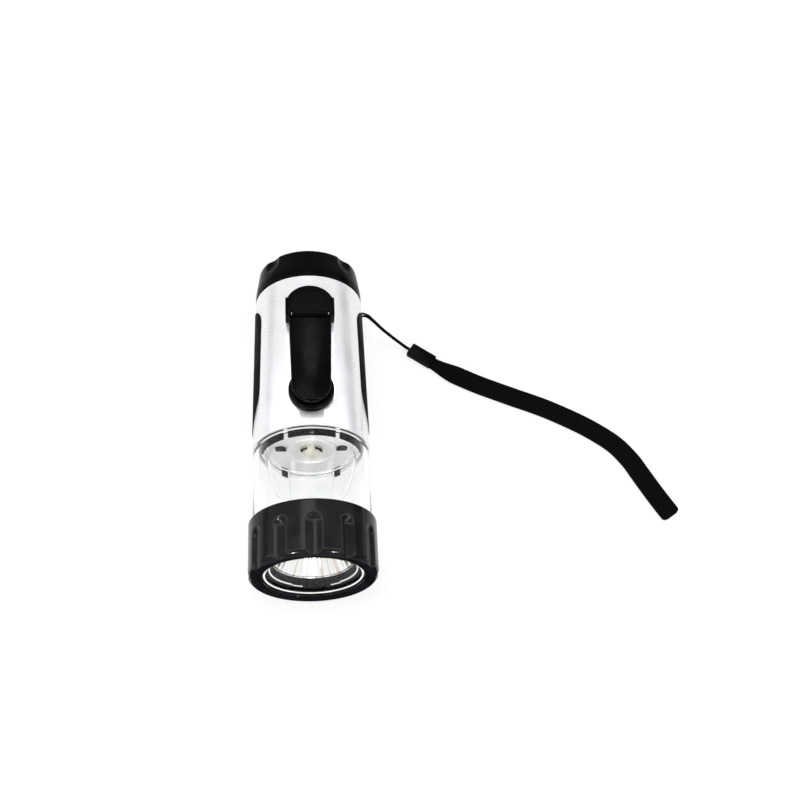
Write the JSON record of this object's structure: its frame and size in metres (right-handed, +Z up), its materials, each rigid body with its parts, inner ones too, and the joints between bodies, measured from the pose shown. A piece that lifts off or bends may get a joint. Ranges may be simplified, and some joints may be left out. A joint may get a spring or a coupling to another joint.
{
  "type": "crank torch lantern",
  "caption": "Round wind-up torch lying on its side, with a fluted lens head, a clear lantern section, a folding crank on the barrel and a wrist strap on a string.",
  "frame": {"origin": "centre of the torch's bounding box at the ground it lies on, the strap left out", "axes": "+Y towards the tail cap along the ground, the lens faces -Y, +Z up through the crank, +X towards the strap"},
  "size_m": [0.1989, 0.156, 0.0611],
  "materials": {
    "silver_shell": "satin",
    "black_plastic": "satin",
    "grip_rubber": "matt",
    "clear_plastic": "clear",
    "reflector_chrome": "mirror-bright",
    "white_plastic": "semi-gloss",
    "steel": "plain",
    "brass": "plain",
    "gear_acetal": "matt",
    "circuit_board": "lacquered",
    "copper_winding": "enamelled wire",
    "cell_sleeve": "plain sleeve",
    "lamp_resin": "clear resin",
    "black_webbing": "woven"
  },
  "bodies": {
    "barrel": {"upper_shell": "silver_shell", "lower_shell": "silver_shell", "screw_left_front": "steel", "screw_left_rear": "steel", "screw_right_front": "steel", "screw_right_rear": "steel", "grip_left": "grip_rubber", "grip_right": "grip_rubber", "gear_plate": "steel", "crank_bush": "brass", "idler_axle": "steel", "idler_clip": "steel", "dynamo_can": "steel", "dynamo_winding": "copper_winding", "battery_cell_left": "cell_sleeve", "battery_cell_middle": "cell_sleeve", "battery_cell_right": "cell_sleeve", "lantern_globe": "clear_plastic", "lantern_collar": "black_plastic", "lantern_dish": "white_plastic", "lantern_board": "circuit_board", "lantern_lamp": "lamp_resin", "lantern_dome": "clear_plastic", "conductor_left": "steel", "conductor_right": "steel", "head_housing": "white_plastic", "torch_reflector": "reflector_chrome", "torch_board": "circuit_board", "torch_lamp_top": "lamp_resin", "torch_lamp_right": "lamp_resin", "torch_lamp_left": "lamp_resin", "tail_board": "circuit_board", "tail_switch": "black_plastic", "tail_cap": "black_plastic", "strap_string": "black_webbing", "strap_crimp": "black_plastic", "strap_webbing": "black_webbing"},
    "crank": {"crank_shaft": "steel", "shaft_clip": "steel", "drive_gear": "gear_acetal", "crank_hub": "black_plastic", "hinge_pin": "steel"},
    "crank_arm": {"crank_arm": "black_plastic", "knob_rivet": "steel"},
    "crank_knob": {"crank_knob": "black_plastic"},
    "idler": {"idler_gear": "gear_acetal"},
    "rotor": {"dynamo_rotor": "steel", "rotor_pinion": "brass"},
    "lens_pack": {"lens": "clear_plastic", "lens_gasket": "grip_rubber", "lens_bezel": "black_plastic"},
    "head_ring": {"head_ring": "black_plastic"},
    "button": {"tail_button": "grip_rubber", "switch_stem": "white_plastic"}
  },
  "joints": [
    {"name": "crank_spin", "type": "hinge", "parent": "barrel", "child": "crank", "pos_m": [0, 0.0396, 0.05455], "axis": [0, 0.021, 0.9998], "continuous": true},
    {"name": "crank_fold", "type": "hinge", "parent": "crank", "child": "crank_arm", "pos_m": [0, 0.0349, 0.05945], "axis": [-1, 0, 0], "range_deg": [0, 180]},
    {"name": "knob_spin", "type": "hinge", "parent": "crank_arm", "child": "crank_knob", "pos_m": [0, -0.00091, 0.0544], "axis": [0, 0.021, 0.9998], "continuous": true},
    {"name": "idler_spin", "type": "hinge", "parent": "barrel", "child": "idler", "pos_m": [0, 0.01912, 0.03198], "axis": [0, 0.021, 0.9998], "continuous": true},
    {"name": "rotor_spin", "type": "hinge", "parent": "barrel", "child": "rotor", "pos_m": [0, 0.00108, 0.03036], "axis": [0, 0.021, 0.9998], "continuous": true},
    {"name": "head_slide", "type": "slide", "parent": "barrel", "child": "lens_pack", "axis": [0, -0.9998, 0.021], "range_m": [0, 0.006]},
    {"name": "head_turn", "type": "hinge", "parent": "lens_pack", "child": "head_ring", "pos_m": [0, -0.06499, 0.02774], "axis": [0, -0.9998, 0.021], "range_deg": [0, 1080]},
    {"name": "button_press", "type": "slide", "parent": "barrel", "child": "button", "axis": [0, -0.9998, 0.021], "range_m": [0, 0.0012], "stiffness_N_per_m": 300, "springref_m": -0.002}
  ],
  "couplings": [
    {"joint": "idler_spin", "follows": "crank_spin", "ratio": -3},
    {"joint": "rotor_spin", "follows": "crank_spin", "ratio": 7.8},
    {"joint": "head_turn", "follows": "head_slide", "rad_per_m": 3141.6}
  ]
}
